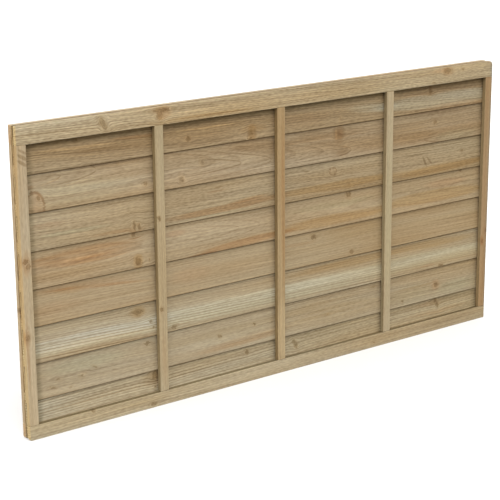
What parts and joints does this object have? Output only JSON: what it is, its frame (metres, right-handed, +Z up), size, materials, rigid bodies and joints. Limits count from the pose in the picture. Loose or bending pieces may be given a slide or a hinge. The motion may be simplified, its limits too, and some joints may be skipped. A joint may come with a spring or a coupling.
{
  "type": "overlap fence panel",
  "caption": "Timber fence panel: thin horizontal boards lapped over one another between a front and a rear frame of rails, stiles and battens.",
  "frame": {"origin": "middle of the front left stile's outer face, where the panel meets its post", "axes": "+X along the panel towards its right end, +Y from the front through to the rear frame, +Z up"},
  "size_m": [1.83, 0.0424, 0.914],
  "materials": {
    "frame_timber": "planed softwood, pressure treated, matt",
    "board_timber": "sawn softwood, pressure treated, matt"
  },
  "bodies": {
    "root": {"front_top_rail": "frame_timber", "front_bottom_rail": "frame_timber", "front_left_stile": "frame_timber", "front_right_stile": "frame_timber", "front_batten_1": "frame_timber", "front_batten_2": "frame_timber", "front_batten_3": "frame_timber", "rear_top_rail": "frame_timber", "rear_bottom_rail": "frame_timber", "rear_left_stile": "frame_timber", "rear_right_stile": "frame_timber", "rear_batten_1": "frame_timber", "rear_batten_2": "frame_timber", "rear_batten_3": "frame_timber", "board_1": "board_timber", "board_2": "board_timber", "board_3": "board_timber", "board_4": "board_timber", "board_5": "board_timber", "board_6": "board_timber", "board_7": "board_timber", "board_8": "board_timber"}
  },
  "joints": []
}
